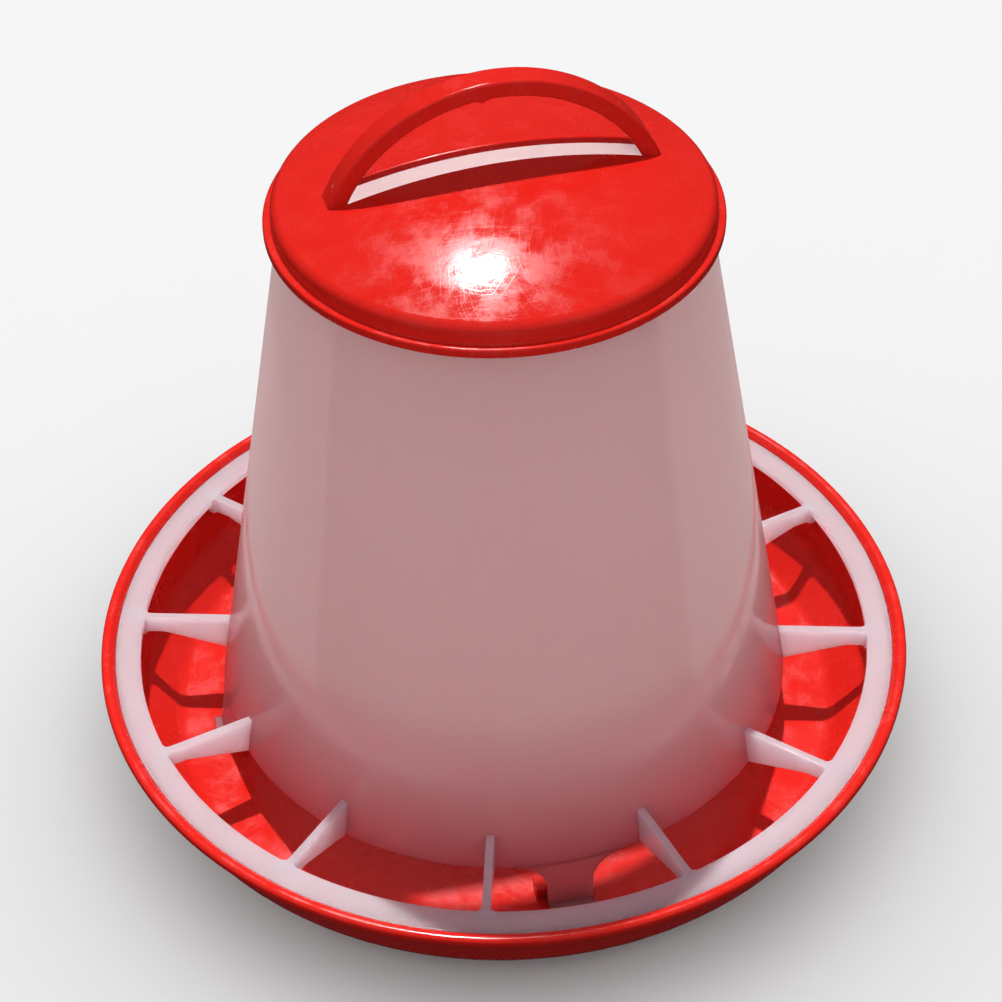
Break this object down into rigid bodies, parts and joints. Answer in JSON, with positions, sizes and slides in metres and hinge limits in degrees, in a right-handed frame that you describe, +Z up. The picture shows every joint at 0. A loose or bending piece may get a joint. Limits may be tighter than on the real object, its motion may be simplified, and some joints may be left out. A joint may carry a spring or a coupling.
{
  "type": "gravity poultry feeder",
  "caption": "Gravity feeder for poultry: round red pan, tapered milky hopper on feet with a spoked guard ring, and a domed red lid with a hoop handle.",
  "frame": {"origin": "centre of the base, on the surface the pan stands on", "axes": "+Z up along the hopper's axis; the hopper's four feet lie on the X and Y axes, and the handle lies along X, 2.4 degrees turned"},
  "size_m": [0.21, 0.21, 0.197],
  "materials": {
    "red_plastic": "glossy bright red polypropylene with light scuffs",
    "milky_plastic": "natural polypropylene, milky and translucent, smooth with a soft gloss"
  },
  "bodies": {
    "pan": {"feed_pan": "red_plastic", "pan_lock_lug_1": "red_plastic", "pan_lock_lug_2": "red_plastic", "pan_lock_lug_3": "red_plastic", "pan_lock_lug_4": "red_plastic"},
    "hopper": {"hopper_wall": "milky_plastic", "guard_ring": "milky_plastic", "hopper_foot_1": "milky_plastic", "hopper_foot_2": "milky_plastic", "hopper_foot_3": "milky_plastic", "hopper_foot_4": "milky_plastic", "guard_spoke_01": "milky_plastic", "guard_spoke_02": "milky_plastic", "guard_spoke_03": "milky_plastic", "guard_spoke_04": "milky_plastic", "guard_spoke_05": "milky_plastic", "guard_spoke_06": "milky_plastic", "guard_spoke_07": "milky_plastic", "guard_spoke_08": "milky_plastic", "guard_spoke_09": "milky_plastic", "guard_spoke_10": "milky_plastic", "guard_spoke_11": "milky_plastic", "guard_spoke_12": "milky_plastic"},
    "lid": {"lid_shell": "red_plastic", "lid_handle": "red_plastic"}
  },
  "joints": [
    {"name": "hopper_turn", "type": "hinge", "parent": "pan", "child": "hopper", "pos_m": [0, 0, 0], "axis": [0, 0, 1], "range_deg": [0, 14]},
    {"name": "lid_lift", "type": "slide", "parent": "hopper", "child": "lid", "axis": [0, 0, 1], "range_m": [0, 0.06]}
  ]
}
